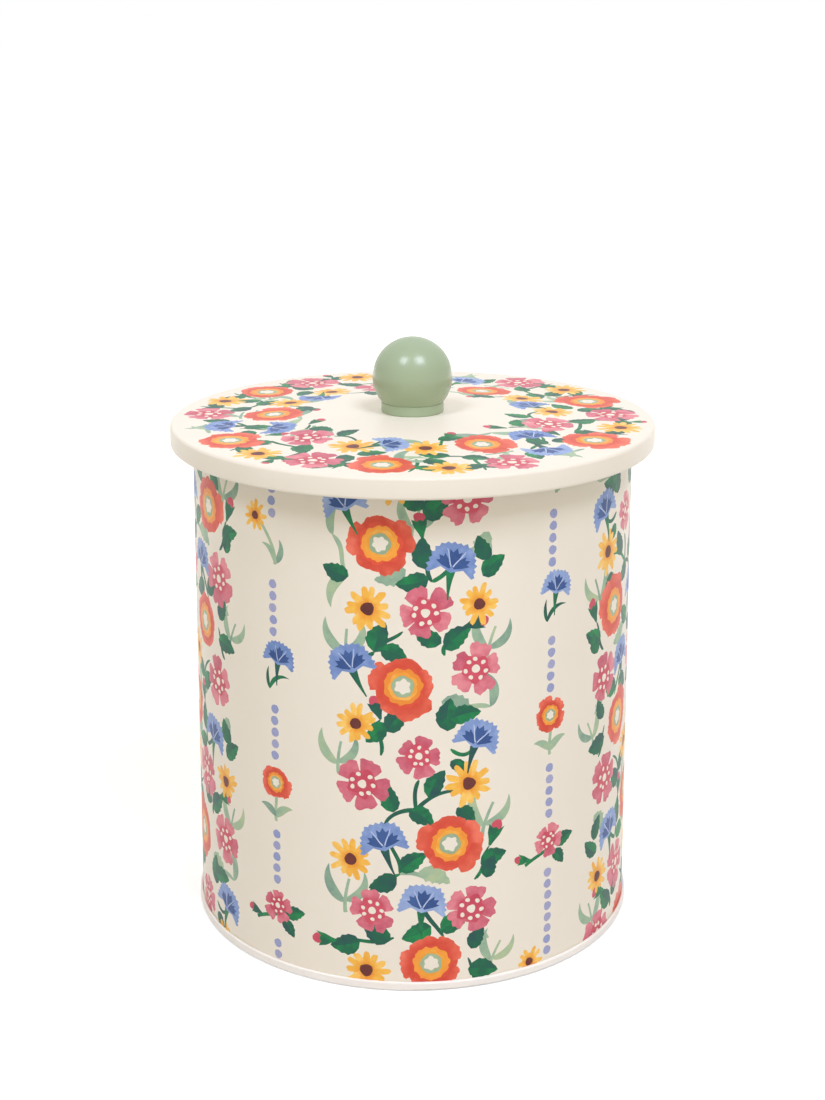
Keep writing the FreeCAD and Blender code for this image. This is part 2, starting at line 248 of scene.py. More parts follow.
# ---- outlines, at unit size
def turned(x, y, angle):
    """A point turned about the origin."""
    return x * cos(angle) - y * sin(angle), x * sin(angle) + y * cos(angle)


def polar(reach, angle):
    return reach * cos(angle), reach * sin(angle)


def jitter(rng, amount):
    return amount * rng.uniform(-1, 1)


def wavy_circle(rng, radius, lobes, depth, nick, points):
    """A closed outline round the origin with soft lobes and small nicks."""
    start = rng.random() * FULL_TURN
    outline = []
    for k in range(points):
        angle = FULL_TURN * k / points
        swell = 1 + depth * sin(lobes * angle + start) + depth * 0.5 * sin(3 * angle + 2 * start)
        reach = radius * swell * (1 + jitter(rng, nick))
        outline.append(polar(reach, angle))
    return outline


def fan_petal(rng, heading, base, tip, spread, notch, nick, steps, waist, shoulder):
    """A petal from its base to a broad end; notch dents the end's middle, shoulder narrows the end."""
    rim = []
    for k in range(steps):
        across = 2 * k / (steps - 1) - 1
        dent = notch * (1 - abs(across)) ** 1.5
        round_off = 0.13 * abs(across) ** 3
        reach = tip * (1 - dent - round_off + jitter(rng, nick))
        rim.append((reach, across * spread * shoulder / 2))
    flank_out = [
        (base + (tip * 0.82 - base) * t, -spread / 2 * (waist + (0.96 - waist) * t))
        for t in (0, 0.35, 0.7)
    ]
    flank_back = [(reach, -angle) for reach, angle in reversed(flank_out)]
    return [polar(reach, heading + angle) for reach, angle in flank_out + rim + flank_back]


def ray_petal(rng, heading, base, tip, width):
    """One narrow ray of a daisy, with a blunt lopsided end."""
    blunt = (
        (base, -0.34), (0.5, -0.5), (0.8, -0.52), (0.93, -0.36), (0.98, -0.06), (1.0, 0.14),
        (0.9, 0.38), (0.6, 0.48), (base, 0.34),
    )
    side = rng.choice((-1, 1))
    points = []
    for along, across in blunt:
        along = along * tip * (1 + jitter(rng, 0.03))
        across = across * width * side * (1 + jitter(rng, 0.15))
        points.append(turned(along, across, heading))
    return points


def bezier(points, steps):
    """Points along a cubic Bezier curve."""
    line = []
    for k in range(steps + 1):
        t = k / steps
        s = 1 - t
        weights = (s * s * s, 3 * s * s * t, 3 * s * t * t, t * t * t)
        line.append(tuple(sum(w * p[axis] for w, p in zip(weights, points)) for axis in (0, 1)))
    return line


def brush_stroke(line, width_at):
    """The outline of a stroke along a line; width_at gives its width from 0 to 1 along it."""
    left, right = [], []
    last = len(line) - 1
    for k, (x, y) in enumerate(line):
        x0, y0 = line[max(k - 1, 0)]
        x1, y1 = line[min(k + 1, last)]
        length = hypot(x1 - x0, y1 - y0) or 1.0
        half = width_at(k / last) / 2
        across = (-(y1 - y0) / length * half, (x1 - x0) / length * half)
        left.append((x + across[0], y + across[1]))
        right.append((x - across[0], y - across[1]))
    return left + right[::-1]


def leaf_outline(rng, width, teeth, tooth_depth, bend, half=None):
    """A toothed leaf from (0, 0) to (1, 0); half gives only its left (1) or right (-1) side."""
    spine = [(t, bend * sin(pi * t)) for t in [k / 16 for k in range(17)]]
    sides = []
    for side in (1, -1):
        points = []
        for k in range(2 * teeth + 1):
            t = k / (2 * teeth)
            arch = sin(pi * t)
            body = width / 2 * sin(pi * t ** 0.72) ** 0.8 if 0 < t < 1 else 0.0
            tooth = tooth_depth * (1 if k % 2 else -0.35) * arch * rng.uniform(0.5, 1.2)
            lean = 0.02 if k % 2 else 0
            points.append((t + lean * arch, bend * arch + side * (body + tooth)))
        sides.append(points)
    if half:
        return sides[0 if half == 1 else 1] + spine[::-1][1:-1]
    return sides[0] + sides[1][::-1][1:-1]


def toothed_fan(rng, opening, teeth, tooth_depth):
    """The flared head of a cornflower: an arc of teeth above a wavy lower edge."""
    first = pi / 2 - opening / 2
    rim = []
    for k in range(2 * teeth + 1):
        angle = first + opening * k / (2 * teeth)
        bulge = 0.86 + 0.14 * sin((angle - first) / opening * pi)
        lobe = 0.035 * cos(3 * FULL_TURN * (angle - first) / opening)
        reach = bulge + lobe + (tooth_depth if k % 2 else -tooth_depth * 0.3) * rng.uniform(0.5, 1.25)
        rim.append(polar(reach, angle))
    under = [(-0.42, 0.02), (-0.16, -0.1), (0.0, -0.16), (0.18, -0.09), (0.45, 0.0)]
    return rim + under


def dart(heading, base, tip, width):
    """A dark pointed tuft inside a cornflower: narrow base, three points at the end."""
    shape = (
        (0.0, -0.16), (0.5, -0.42), (0.92, -0.55), (0.8, -0.26), (1.08, -0.05), (0.82, 0.2),
        (0.96, 0.5), (0.5, 0.44), (0.0, 0.16),
    )
    return [turned(base + (tip - base) * along, across * width, heading) for along, across in shape]


# ---- a flat drawing of painted shapes
class Drawing:
    """Painted shapes in the order they are laid down, in millimetres on the flat sheet."""

    def __init__(self, seed):
        self.rng = random.Random(seed)
        self.shapes = []

    def add(self, paint, outline, place, tone=None):
        x, y, size, turn, flip = place
        points = []
        for a, b in outline:
            a, b = turned(-a if flip else a, b, turn)
            points.append((x + size * a, y + size * b))
        tone = self.rng.random() if tone is None else tone
        self.shapes.append((paint, points, (x, y, size), tone))


def place(x, y, size, turn=0.0, flip=False):
    """Where a motif sits: millimetres across and up, size, turn in degrees, mirrored or not."""
    return (x, y, size, radians(turn), flip)


def within(outer, x, y, size, turn=0.0):
    """A place inside another motif, given in that motif's own units."""
    outer_x, outer_y, scale, angle, flip = outer
    turn = -turn if flip else turn
    x, y = turned(-x if flip else x, y, angle)
    return (outer_x + scale * x, outer_y + scale * y, scale * size, angle + radians(turn), flip)


# ---- motifs
def blob(art, at, paint, *shape):
    """A wavy circle: its radius, lobes, depth of lobes, depth of nicks and number of points."""
    art.add(paint, wavy_circle(art.rng, *shape), at)


def stroke(art, at, paint, points, steps, width_at):
    art.add(paint, brush_stroke(bezier(points, steps), width_at), at)


def poppy(art, at):
    rng = art.rng
    first = rng.random() * FULL_TURN
    petals = 5
    blob(art, at, "coral", 0.78, 5, 0.04, 0.02, 30)
    for k in (0, 2, 4, 1, 3):
        heading = first + FULL_TURN * (k + jitter(rng, 0.16)) / petals
        tip = rng.uniform(0.82, 1.08)
        spread = rng.uniform(1.1, 1.5)
        petal = fan_petal(rng, heading, 0.3, tip, spread, 0.07, 0.04, 13, 0.9, 0.88)
        art.add("coral", petal, at)
    blob(art, at, "poppy_shade", 0.6, 7, 0.06, 0.05, 40)
    blob(art, at, "orange", 0.52, 11, 0.04, 0.045, 44)
    blob(art, at, "yellow", 0.4, 7, 0.05, 0.05, 34)
    blob(art, at, "ring_sage", 0.31, 5, 0.03, 0.02, 28)
    blob(art, at, "ground", 0.21, 6, 0.13, 0.02, 28)


def blossom(art, at, dots=7):
    rng = art.rng
    first = rng.random() * FULL_TURN
    petals = 5
    blob(art, at, "pink", 0.5, 5, 0.04, 0.02, 20)
    for k in range(petals):
        heading = first + FULL_TURN * (k + jitter(rng, 0.06)) / petals
        tip = rng.uniform(0.9, 1.1)
        shoulder = rng.uniform(0.84, 0.94)
        petal = fan_petal(rng, heading, 0.2, tip, 1.14, 0.12, 0.05, 10, 1.0, shoulder)
        art.add("pink", petal, at)
    blob(art, at, "raspberry", 0.49, 5, 0.14, 0.04, 36)
    blob(art, at, "ground", 0.155, 3, 0.06, 0.01, 14)
    for k in range(dots):
        angle = first + FULL_TURN * (k + jitter(rng, 0.2)) / dots
        reach = 0.37 + jitter(rng, 0.02)
        dot = within(at, *polar(reach, angle), 0.085)
        blob(art, dot, "ground", 1.0, 2, 0.1, 0.02, 9)


def daisy(art, at, rays=12):
    rng = art.rng
    first = rng.random() * FULL_TURN
    blob(art, at, "yellow", 0.58, 6, 0.05, 0.04, 24)
    for k in range(rays):
        heading = first + FULL_TURN * (k + jitter(rng, 0.22)) / rays
        art.add("yellow", ray_petal(rng, heading, 0.25, rng.uniform(0.82, 1.1), 0.3), at)
    blob(art, at, "brown", 0.28, 3, 0.05, 0.04, 20)


def cornflower(art, at):
    rng = art.rng
    stalk = [(0, -0.1), (0.02, -0.4), (0.05, -0.7), (0.16, -1.2)]
    stroke(art, at, "leaf", stalk, 8, lambda t: 0.30 * (1 - t) ** 1.2 + 0.055)
    art.add("periwinkle", toothed_fan(rng, radians(rng.uniform(204, 222)), 16, 0.08), at)
    for heading, tip, width in ((36, 0.7, 0.4), (89, 0.74, 0.48), (144, 0.68, 0.4)):
        heading = radians(heading + jitter(rng, 5))
        art.add("cobalt", dart(heading, 0.06, tip, width), at)
    wavering = ((0.08, 0), (0.34, 0.09), (0.6, -0.07), (0.8, 0))
    for heading in (63, 117):
        angle = radians(heading + jitter(rng, 4))
        vein = [polar(reach, angle + bend) for reach, bend in wavering]
        stroke(art, at, "vein", vein, 6, lambda t: 0.05 - 0.02 * t)


def green_leaf(art, at, width=None):
    """A leaf; most have one half painted again in the opposite tone."""
    rng = art.rng
    width = width or rng.uniform(0.56, 0.66)
    bend = 0.06
    tone = rng.random()
    art.add("leaf", leaf_outline(rng, width, 5, 0.034, bend), at, tone)
    if rng.random() < 0.8:
        half = leaf_outline(rng, width * 0.95, 5, 0.03, bend, half=rng.choice((1, -1)))
        art.add("leaf", half, at, (tone + 0.5) % 1.0)


def sage_leaf(art, at, bend, width, paint="sage"):
    """A long smooth leaf that leaves its root, swells and ends in a point."""
    def width_at(t):
        return width * sin(pi * t ** 0.8) ** 0.85 + 0.03 * (1 - t)

    spine = [(0, 0), (0.28, bend), (0.7, bend * 1.2), (1.0, -bend * 0.3)]
    stroke(art, at, paint, spine, 14, width_at)


def stem(art, points, start_width, end_width):
    """A stem in sheet millimetres. A green one keeps its width or thins, a sage one swells."""
    unit = 10.0
    paint = "sage" if end_width > start_width else "leaf"

    def width_at(t):
        width = start_width + (end_width - start_width) * t
        return width * min(1, 0.4 + 6 * t, 0.35 + 6 * (1 - t))

    centre = points[1]
    line = brush_stroke(bezier(points, 12), width_at)
    outline = [((x - centre[0]) / unit, (y - centre[1]) / unit) for x, y in line]
    art.add(paint, outline, place(*centre, unit))


def bud(art, at):
    blob(art, within(at, 0.02, 0.88, 1.0), "raspberry", 0.24, 3, 0.06, 0.03, 20)
    calyx = [
        (-0.05, 0), (-0.12, 0.22), (-0.26, 0.5), (-0.32, 0.86), (-0.12, 0.74), (0.03, 0.8),
        (0.16, 0.72), (0.36, 0.92), (0.27, 0.5), (0.13, 0.2), (0.06, 0),
    ]
    art.add("leaf", calyx, at)


def sage_pair(art, at):
    """Two long soft leaves from one stem."""
    sage_leaf(art, within(at, 0, 0, 1.05, 112), 0.2, 0.24)
    sage_leaf(art, within(at, 0, 0.05, 0.95, 50), -0.26, 0.24)
    stalk = [(0.0, -0.28), (-0.03, -0.1), (0.02, 0.2), (0.16, 0.62)]
    stroke(art, at, "sage", stalk, 8, lambda t: 0.11 - 0.04 * t)


def sage_toothed(art, at):
    """A broad soft leaf with a ragged edge."""
    art.add("sage", leaf_outline(art.rng, 0.5, 5, 0.075, 0.1), at)


# ---- the garlands up the wall
# One repeat of a garland, in millimetres right of its line and up from its start.
PERIOD = 172.0
WALL_PRINT = 170.0

# (motif, across, up, size, and its turn if any)
FLOWERS = (
    (poppy, 6, 9, 11.2), (daisy, -15, 6, 7.6), (blossom, 19, 27, 9.2),
    (blossom, -13, 27, 8.2), (cornflower, 3, 28, 8.4, -8), (poppy, 12, 50, 11.2),
    (daisy, -20, 44, 7.2), (cornflower, -9, 49, 8.4, 12), (blossom, -16, 70, 9.2),
    (daisy, 18, 70, 7.6), (blossom, 2, 80, 7.6), (cornflower, 20, 83, 8.2, -22),
    (daisy, -18, 90, 6.6), (poppy, -3, 103, 11.5), (blossom, 20, 108, 8.8),
    (cornflower, -19, 108, 8.2, 20), (daisy, -14, 128, 7.6), (blossom, 4, 127, 9.3),
    (daisy, 21, 129, 6.6), (poppy, -10, 149, 11.1), (cornflower, 12, 141, 8.4, -14),
    (blossom, 17, 163, 9.2), (daisy, -5, 168, 6.8), (cornflower, -21, 160, 7.8, 18),
)
# (the curve's four points, width at its start and end)
STEMS = (
    ((-6, 18), (-14, 14), (-18, 18), (-25, 15), 1.5, 0.9),
    ((3, 29), (5, 24), (8, 22), (10, 18), 1.6, 1.2),
    ((20, 37), (24, 40), (22, 44), (25, 48), 1.3, 0.8),
    ((-4, 40), (-9, 38), (-12, 36), (-14, 33), 1.3, 0.9),
    ((-4, 40), (-3, 44), (-6, 47), (-8, 52), 1.5, 1.1),
    ((10, 37), (4, 38), (1, 42), (-4, 40), 1.3, 1.6),
    ((1, 62), (-4, 62), (-8, 60), (-9, 56), 1.6, 1.0),
    ((1, 62), (5, 66), (8, 68), (14, 68), 1.5, 1.0),
    ((2, 72), (0, 68), (1, 65), (1, 62), 1.3, 1.3),
    ((12, 82), (16, 78), (19, 80), (21, 84), 1.4, 1.1),
    ((-10, 80), (-8, 86), (-14, 88), (-10, 92), 1.4, 1.0),
    ((9, 96), (14, 94), (18, 97), (25, 95), 1.2, 1.7),
    ((10, 113), (8, 117), (14, 119), (16, 122), 1.5, 1.0),
    ((-12, 114), (-14, 112), (-17, 112), (-19, 110), 1.5, 1.2),
    ((-12, 114), (-10, 118), (-6, 118), (-3, 121), 1.5, 1.0),
    ((6, 137), (3, 141), (6, 145), (3, 151), 1.5, 1.0),
    ((12, 142), (10, 139), (8, 138), (6, 137), 1.4, 1.4),
    ((-20, 138), (-24, 143), (-20, 146), (-25, 151), 1.2, 1.7),
    ((4, 158), (3, 162), (5, 166), (10, 168), 1.5, 0.9),
    ((22, 172), (19, 175), (20, 178), (18, 182), 1.3, 0.9),
)
# (across, up, size, turn), here and in the toothed, paired and bud tables
LEAVES = (
    (-17, 16, 10.5, 196), (-7, 17, 10, 152), (6, 22, 10.5, 205), (9, 20, 11, 30), (18, 6, 10.5, -10),
    (19, 13, 8.5, 60), (22, 42, 9.5, 20), (24, 37, 8, 70), (-5, 39, 10, 205), (-4, 41, 10.5, 35),
    (-6, 61, 9.5, 100), (-1, 62, 9.5, -35), (5, 66, 10.5, 60), (14, 62, 8, -40), (11, 88, 11, 85),
    (-8, 88, 10, 50), (-9, 91, 9, 230), (12, 92, 10, 10), (12, 78, 7, -40), (10, 115, 11, 40),
    (9, 117, 10, 150), (-12, 114, 10.5, 70), (-10, 115, 9, -20), (5, 138, 10.5, 190),
    (4, 141, 10.5, 95), (22, 138, 9.5, 40), (24, 143, 9, 115), (4, 157, 10, 40), (3, 160, 9, 130),
    (-20, 138, 9, 160), (-14, 165, 9, 60), (-15, 172, 8, 190),
)
# (across, up, size, turn, bend, width)
LONG_LEAVES = (
    (25, 16, 12, 110, 0.24, 0.24), (25, 95, 12, 100, -0.22, 0.26),
    (-20, 139, 13, 240, -0.22, 0.26), (-25, 151, 11, 80, 0.2, 0.24),
)
TOOTHED_LEAVES = ((2, 41, 11, -24), (9, 98, 11, -22), (-2, 141, 10.5, 200), (24, 152, 10.5, 230))
LEAF_PAIRS = (
    (-22, 29, 13, 4), (23, 55, 13, -8), (-24, 76, 12, 6), (24, 114, 12, -4), (-21, 113, 12.5, 12),
    (-20, -9, 13, 6), (0, 154, 11, -6), (26, 8, 11, -12),
)
BUDS = (
    (25, 48, 8.0, -20), (-25, 15, 7.6, 95), (16, 122, 7.4, -75), (-10, 92, 7.2, 20), (3, 151, 7.4, 10),
)


# How far a motif reaches beyond its own place, at most.
BUD_REACH, LEAF_REACH, FLOWER_REACH = 10, 12, 14


def garland(art, u, start, flip):
    """A climbing garland round the line u, which repeats every PERIOD millimetres."""
    side = -1 if flip else 1
    for v in (start - PERIOD, start):
        def on_wall(entries, reach, up=1):
            """The entries whose motif reaches the print; up is where their height stands."""
            return [e for e in entries if -reach < v + e[up] < WALL_PRINT + reach]

        def mirrored(x, y, size, turn=0.0):
            return place(u + side * x, v + y, size, side * turn, flip)

        def upright(x, y, size, turn):
            """Its place and turn are mirrored, but not its drawing."""
            return place(u + side * x, v + y, size, 180 - turn if flip else turn)

        for *points, start_width, end_width in STEMS:
            if on_wall(points[:1], LEAF_REACH):
                stem(art, [(u + side * x, v + y) for x, y in points], start_width, end_width)
        for *spot, bend, width in on_wall(LONG_LEAVES, FLOWER_REACH):
            sage_leaf(art, mirrored(*spot), bend, width)
        for spot in on_wall(TOOTHED_LEAVES, FLOWER_REACH):
            sage_toothed(art, upright(*spot))
        for spot in on_wall(LEAF_PAIRS, FLOWER_REACH):
            sage_pair(art, mirrored(*spot))
        for spot in on_wall(LEAVES, LEAF_REACH):
            green_leaf(art, upright(*spot))
        for spot in on_wall(BUDS, BUD_REACH):
            bud(art, mirrored(*spot))
        for motif, *spot in on_wall(FLOWERS, FLOWER_REACH, 2):
            motif(art, mirrored(*spot))


# ---- the dotted lines between them
# Each small sprig returns how far it covers the line of dots, below and above its middle.
def sprig_daisy(art, at):
    sage_leaf(art, within(at, 0.12, -1.45, 0.95, 128), -0.22, 0.26)
    sage_leaf(art, within(at, 0.12, -1.45, 0.98, 74), -0.2, 0.26)
    stalk = [(0.12, -1.5), (0.2, -1.0), (-0.1, -0.5), (-0.6, 0.1)]
    stroke(art, at, "sage", stalk, 10, lambda t: 0.14)
    daisy(art, within(at, -0.85, 0.25, 0.6), rays=10)
    return 14.0, 2.2


def sprig_poppy(art, at):
    stalk = [(0.0, -1.6), (-0.1, -1.2), (0.08, -0.8), (0.0, -0.3)]
    stroke(art, at, "sage", stalk, 10, lambda t: 0.14)
    sage_leaf(art, within(at, -0.02, -1.45, 0.95, 34), 0.16, 0.34)
    sage_leaf(art, within(at, -0.02, -1.4, 0.85, 150), -0.16, 0.34)
    poppy(art, within(at, 0, 0, 0.78))
    return 14.5, 7.4


def sprig_blossom(art, at):
    stalk = [(-1.1, -0.8), (-0.6, -0.5), (-0.2, -0.5), (0.4, -0.15)]
    stroke(art, at, "leaf", stalk, 10, lambda t: 0.15)
    green_leaf(art, within(at, 0.4, -0.3, 0.95, 18), 0.6)
    green_leaf(art, within(at, 0.25, -0.5, 0.85, -50), 0.6)
    bud(art, within(at, -0.85, -0.62, 0.66, 78))
    blossom(art, within(at, 0, 0, 0.74), dots=6)
    return 8.8, 7.4


def sprig_cornflower(art, at):
    sage_leaf(art, within(at, -0.22, -1.35, 0.9, 94), 0.1, 0.16, "leaf")
    sage_leaf(art, within(at, -0.22, -1.35, 1.1, 34), 0.24, 0.15, "leaf")
    cornflower(art, within(at, 0.2, -0.2, 0.8, -12))
    return 12.5, 6.2


SPRIGS = (sprig_cornflower, sprig_daisy, sprig_blossom, sprig_poppy)
SPRIG_PITCH = 43.0
SPRIG_SIZE = 8.4
SPRIG_REACH = 12.0
DOT_PITCH = 3.95
DOT = 1.56
DOT_SWAY = 0.15
DOT_CLEARANCE = 0.3
FIRST_DOT = 4.6
LAST_DOT = 168.0


def dotted_column(art, u, first, start, flip):
    """A line of dots up the tin, broken by small sprigs."""
    gaps = []
    for k in range(-1, 5):
        middle = start + SPRIG_PITCH * k
        if -SPRIG_REACH < middle < WALL_PRINT + SPRIG_REACH:
            sprig = SPRIGS[(first + k) % len(SPRIGS)]
            below, above = sprig(art, place(u, middle, SPRIG_SIZE, 0, flip))
            gaps.append((middle - below, middle + above))
    v = FIRST_DOT
    while v < LAST_DOT:
        covered = [top for foot, top in gaps if foot - DOT < v < top + DOT]
        if covered:
            v = covered[0] + DOT + DOT_CLEARANCE
            continue
        outline = wavy_circle(art.rng, DOT, 3, 0.03, 0.05, 11)
        spot = place(u + art.rng.uniform(-DOT_SWAY, DOT_SWAY), v, DOT)
        art.add("lilac", [(x / DOT, y / DOT) for x, y in outline], spot)
        v += DOT_PITCH


# ---- the lid's wreath
# A third of it, at this scale, with (radius, degrees round) in place of (across, up) and turns
# measured from outwards.
WREATH_SCALE = 1.035
THIRDS = (14, 134, 254)
WREATH_FLOWERS = (
    (poppy, 65, 8, 11.4), (daisy, 69, 25, 7.6), (blossom, 68, 42, 9.6),
    (cornflower, 60, 59, 8.6, -20), (poppy, 66, 76, 11.4), (daisy, 69, 93, 7.6),
    (blossom, 66, 109, 9.6), (daisy, 46, 21, 7.4), (poppy, 46, 44, 10.6),
    (cornflower, 49, 67, 8.2, 150), (blossom, 46, 90, 9.4), (daisy, 47, 113, 7.4),
    (cornflower, 43, 4, 8.0, 120),
)
WREATH_STEMS = (
    ((58, 20), (54, 26), (56, 32), (60, 36), 1.5, 1.0),
    ((58, 55), (55, 60), (56, 66), (50, 70), 1.5, 1.0),
    ((56, 84), (58, 90), (54, 96), (57, 102), 1.5, 1.0),
    ((38, 30), (36, 36), (39, 52), (37, 58), 1.2, 1.7),
    ((68, 55), (70, 59), (68, 62), (69, 66), 1.2, 1.6),
    ((40, 98), (37, 104), (39, 108), (42, 112), 1.3, 0.9),
    ((45, 81), (42, 80), (38, 77), (37, 72), 1.3, 0.9),
    ((45, 27), (42, 28), (39, 29), (37, 32), 1.3, 0.9),
    ((45, 119), (42, 121), (39, 122), (37, 124), 1.3, 0.9),
    ((58, 17), (63, 18), (68, 17), (73, 15), 1.4, 0.9),
    ((60, 34), (64, 33), (69, 34), (74, 33), 1.4, 0.9),
    ((58, 87), (63, 85), (68, 84), (73, 86), 1.4, 0.9),
    ((58, 101), (63, 102), (68, 101), (72, 100), 1.4, 0.9),
    ((57, 118), (63, 117), (68, 118), (73, 117), 1.4, 0.9),
)
WREATH_LEAVES = (
    (58, 20, 10, 30), (55, 28, 10, -110), (57, 31, 9.5, 60), (60, 52, 9.5, -15), (57, 63, 9.5, 170),
    (56, 67, 9, 60), (57, 86, 9.5, -60), (55, 95, 9.5, 60), (58, 101, 9, -150), (39, 99, 9, 170),
    (39, 78, 9, 120), (38, 28, 9, 100), (56, 115, 10, 10), (55, 118, 9.5, 120), (38, 122, 8.5, 60),
    (66, 17, 8.5, 42), (65, 17, 7.5, -46), (67, 33, 8, 44), (66, 33, 8.5, -40), (66, 84, 8.5, 46),
    (65, 84, 7.5, -44), (66, 101, 8, 40), (67, 101, 7.5, -48), (65, 118, 8.5, 44), (66, 118, 8, -42),
)
WREATH_LONG = (
    (38, 31, 14, 190, 0.2, 0.25), (37, 58, 14, 160, -0.2, 0.25),
    (68, 56, 8.5, 120, 0.2, 0.28), (58, 10, 11, 190, 0.2, 0.22),
)
WREATH_PAIRS = (
    (38, 80, 12, 60), (60, 13, 12, 150), (66, 61, 8.5, -60), (57, 46, 11, -80), (38, 8, 12, 40),
)
WREATH_BUDS = (
    (37, 71, 7.0, -150), (71, -4, 6.8, -70), (54, 76, 6.8, 160), (71, 100, 5.6, 12), (37, 33, 6.4, 150),
)


def wreath(art):
    """Flowers all round the lid, clear of its middle and its edge."""
    def spot(radius, around):
        return polar(WREATH_SCALE * radius, radians(around))

    def outwards(third, radius, around, size, turn=0.0):
        """A place whose upward direction points away from the lid's middle."""
        around = third + around
        return place(*spot(radius, around), WREATH_SCALE * size, around - 90 + turn)

    for third in THIRDS:
        for *points, start_width, end_width in WREATH_STEMS:
            stem(art, [spot(radius, third + a) for radius, a in points], start_width, end_width)
        for *at, bend, width in WREATH_LONG:
            sage_leaf(art, outwards(third, *at), bend, width)
        for at in WREATH_PAIRS:
            sage_pair(art, outwards(third, *at))
        for *at, turn in WREATH_LEAVES:
            green_leaf(art, outwards(third, *at, 90 + turn))
        for at in WREATH_BUDS:
            bud(art, outwards(third, *at))
    for third in THIRDS:
        for motif, *at in WREATH_FLOWERS:
            motif(art, outwards(third, *at))


# ---- sizes, from the CAD frame
def box_mm(name):
    """The lowest and the highest corner of a CAD node, in millimetres."""
    return [[v / MM for v in corner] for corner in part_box(name)]


_, (wall_reach, _, MOUTH) = box_mm("body_wall")
(_, _, SKIRT_FOOT), (LID, _, CROWN) = box_mm("lid_shell")

SHEET = 0.3
CURL = 1.25
WALL = wall_reach - 2 * CURL + SHEET
WALL_FOOT = 0.95
PRINT_LOW = 2.6
PRINT_HIGH = MOUTH - 2 * CURL - 0.4
ENAMEL_PAST_PRINT = 6.5
SIDE_SEAM_WIDTH = 5.0
SIDE_SEAM_ENDS = (5.5, 151.1)

LID_TOP = CROWN - 2.25
LID_EDGE = 1.2
LID_HEM = 1.0
CROWN_FOOT = 66.0
CROWN_FLAT = 12.5
KNOB_GROUND = 7.0
SCREW_HOLE = 2.2

COLUMNS = 144
# Painted shapes stop this far from the line where the strip's two ends meet.
JOIN = 0.004
SMALLEST_AREA = 0.003
# Runs that turn by more than this meet in a sharp edge.
CREASE = radians(35.0)

# A fine dent down a sheet's join, from one length along its section to another.
Groove = namedtuple("Groove", "first last half_width depth")
GROOVE_LEAN = radians(31.0)


# ---- sections and turned sheets
def arc(centre, radius, first, last, steps):
    """Points of an arc in a section, angles in degrees."""
    points = []
    for k in range(steps + 1):
        x, y = polar(radius, radians(first + (last - first) * k / steps))
        points.append((centre[0] + x, centre[1] + y))
    return points


def without_repeats(points, nearest=1e-4):
    kept = []
    for p in points:
        if not kept or dist(p, kept[-1]) > nearest:
            kept.append(p)
    if dist(kept[0], kept[-1]) < nearest:
        kept.pop()
    return kept


class Section:
    """A closed section of (radius, height) points in millimetres, its metal on the left of travel.
    It knows the length along it, and the outward normal at each end of each run."""

    def __init__(self, points):
        self.points = without_repeats(points)
        count = len(self.points)
        self.along = [0.0]
        normals = []
        for k in range(count):
            (r0, z0), (r1, z1) = self.points[k], self.points[(k + 1) % count]
            length = hypot(r1 - r0, z1 - z0)
            self.along.append(self.along[-1] + length)
            normals.append(Vector(((z1 - z0) / length, -(r1 - r0) / length)))
        limit = cos(CREASE)
        self.ends = []
        for k, here in enumerate(normals):
            before, after = normals[k - 1], normals[(k + 1) % count]
            first = (here + before).normalized() if here.dot(before) > limit else here
            last = (here + after).normalized() if here.dot(after) > limit else here
            self.ends.append((first, last))

    def run_at(self, along):
        return min(bisect_left(self.along, along, 1), len(self.ends)) - 1

    def place_at(self, run, along):
        """Radius, height and outward normal at a length along one run."""
        share = (along - self.along[run]) / (self.along[run + 1] - self.along[run])
        share = min(1.0, max(0.0, share))
        (r0, z0), (r1, z1) = self.points[run], self.points[(run + 1) % len(self.points)]
        first, last = self.ends[run]
        normal = first.lerp(last, share).normalized()
        return r0 + (r1 - r0) * share, z0 + (z1 - z0) * share, normal


def signed_area(points):
    return sum(a[0] * b[1] - b[0] * a[1] for a, b in zip(points, points[1:] + points[:1])) / 2


def tidy_outline(points):
    """The outline anticlockwise and without repeats, or None where too little of it is left."""
    if len(points) < 3:
        return None
    points = without_repeats(points)
    area = signed_area(points)
    if len(points) < 3 or abs(area) < SMALLEST_AREA:
        return None
    return points if area > 0 else points[::-1]


ABOVE, BELOW = 1, -1


def clipped(points, axis, limit, side):
    """The part of a polygon above or below a limit along one axis."""
    kept = []
    for a, b in zip(points, points[1:] + points[:1]):
        a_in, b_in = (side * p[axis] >= side * limit for p in (a, b))
        if a_in:
            kept.append(a)
        if a_in != b_in:
            share = (limit - a[axis]) / (b[axis] - a[axis])
            cut = [a[0] + (b[0] - a[0]) * share, a[1] + (b[1] - a[1]) * share]
            cut[axis] = limit
            kept.append(tuple(cut))
    return kept


def strip_drawing(section, half, shapes, groove):
    """The lines of a regular grid and the painted outlines, ready to be triangulated together.
    A shape that crosses the join is drawn at both ends of the strip."""
    total = section.along[-1]
    points, edges, faces, owners = [], [], [], []

    def add_line(a, b):
        edges.append((len(points), len(points) + 1))
        points.extend((Vector(a), Vector(b)))

    acrosses = [-half + 2 * half * k / COLUMNS for k in range(COLUMNS + 1)]
    if groove:
        acrosses += [-half + groove.half_width, half - groove.half_width]
    for across in acrosses:
        add_line((across, 0.0), (across, total))
    for along in section.along:
        add_line((-half, along), (half, along))
    for owner, (_, outline, _, _) in enumerate(shapes):
        for shift in (-2 * half, 0.0, 2 * half):
            moved = clipped([(x + shift, y) for x, y in outline], 0, JOIN - half, ABOVE)
            moved = tidy_outline(clipped(moved, 0, half - JOIN, BELOW))
            if moved is None:
                continue
            faces.append(list(range(len(points), len(points) + len(moved))))
            owners.append(owner)
            points.extend(Vector(p) for p in moved)
    return points, edges, faces, owners


